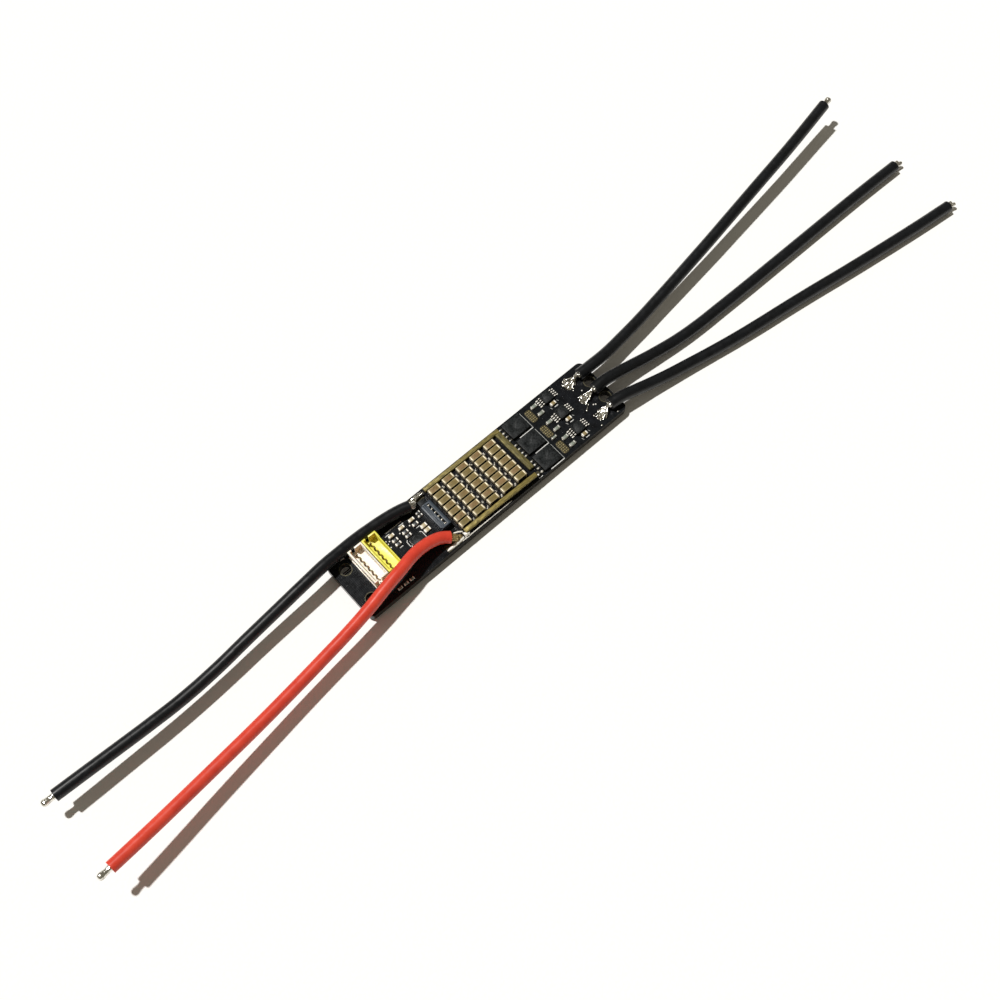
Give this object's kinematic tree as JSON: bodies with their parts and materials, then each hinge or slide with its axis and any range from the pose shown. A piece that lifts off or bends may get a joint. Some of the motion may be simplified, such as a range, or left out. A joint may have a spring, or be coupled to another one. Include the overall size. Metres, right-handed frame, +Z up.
{
  "type": "electronic speed controller",
  "caption": "Long bare circuit board that drives a three-phase motor, with capacitor bank, bus bars, signal sockets, supply leads and motor leads.",
  "frame": {"origin": "below the middle of the main board, on the flat surface that the transistors and regulator of its underside stand on", "axes": "+X along the board towards the motor leads, +Y towards the negative supply lead's edge, +Z up out of the component side"},
  "size_m": [0.2756, 0.0463, 0.0121],
  "materials": {
    "board_black": "black solder mask over fibreglass, satin, with copper tracks standing slightly proud",
    "bank_black": "dark blue-black solder mask, satin",
    "ceramic_tan": "fired ceramic, tan to pinkish brown, differing from part to part",
    "tin": "matt tin plating, off-white",
    "solder": "bright solder with flow ripples",
    "bar_brass": "dull gold-plated copper with fine lengthwise brush lines",
    "socket_white": "cream-white moulded plastic, semi-gloss",
    "socket_yellow": "lemon-yellow moulded plastic, semi-gloss",
    "contact_gold": "tarnished tin-brass contact",
    "header_black": "blue-black moulded plastic, satin",
    "chip_black": "dark grey moulded epoxy, fine matt grain",
    "resistor_grey": "dark glazed film",
    "pad_gold": "gold-plated copper with a grid of small vias",
    "silicone_black": "smooth black silicone, soft sheen",
    "silicone_red": "smooth red silicone, soft sheen",
    "tinned_strands": "stranded copper tinned with solder"
  },
  "bodies": {
    "root": {"main_board": "board_black", "capacitor_board": "bank_black", "capacitors_1": "ceramic_tan", "capacitors_2": "ceramic_tan", "capacitors_3": "ceramic_tan", "capacitors_4": "ceramic_tan", "capacitors_5": "ceramic_tan", "chip_capacitors": "ceramic_tan", "capacitor_ends_1": "tin", "capacitor_ends_2": "tin", "capacitor_ends_3": "tin", "capacitor_ends_4": "tin", "capacitor_ends_5": "tin", "chip_ends": "tin", "mosfet_leads": "tin", "gate_driver_leads": "tin", "regulator_leads": "tin", "header_pins": "tin", "bank_solder": "solder", "solder_a": "solder", "solder_b": "solder", "solder_c": "solder", "solder_positive": "solder", "solder_negative": "solder", "bus_bar_negative": "bar_brass", "bus_bar_end": "bar_brass", "bus_bar_positive": "bar_brass", "signal_socket": "socket_white", "telemetry_socket": "socket_yellow", "signal_contacts": "contact_gold", "telemetry_contacts": "contact_gold", "programming_header": "header_black", "microcontroller": "chip_black", "transient_diode": "chip_black", "voltage_regulator": "chip_black", "high_side_mosfet_1": "chip_black", "high_side_mosfet_2": "chip_black", "high_side_mosfet_3": "chip_black", "low_side_mosfet_1": "chip_black", "low_side_mosfet_2": "chip_black", "low_side_mosfet_3": "chip_black", "gate_driver_1": "chip_black", "gate_driver_2": "chip_black", "gate_driver_3": "chip_black", "chip_resistors": "resistor_grey", "phase_pads": "pad_gold", "supply_pads": "pad_gold", "lead_a": "silicone_black", "lead_b": "silicone_black", "lead_c": "silicone_black", "lead_negative": "silicone_black", "lead_positive": "silicone_red", "tip_a": "tinned_strands", "tip_b": "tinned_strands", "tip_c": "tinned_strands", "tip_positive": "tinned_strands", "tip_negative": "tinned_strands"}
  },
  "joints": []
}
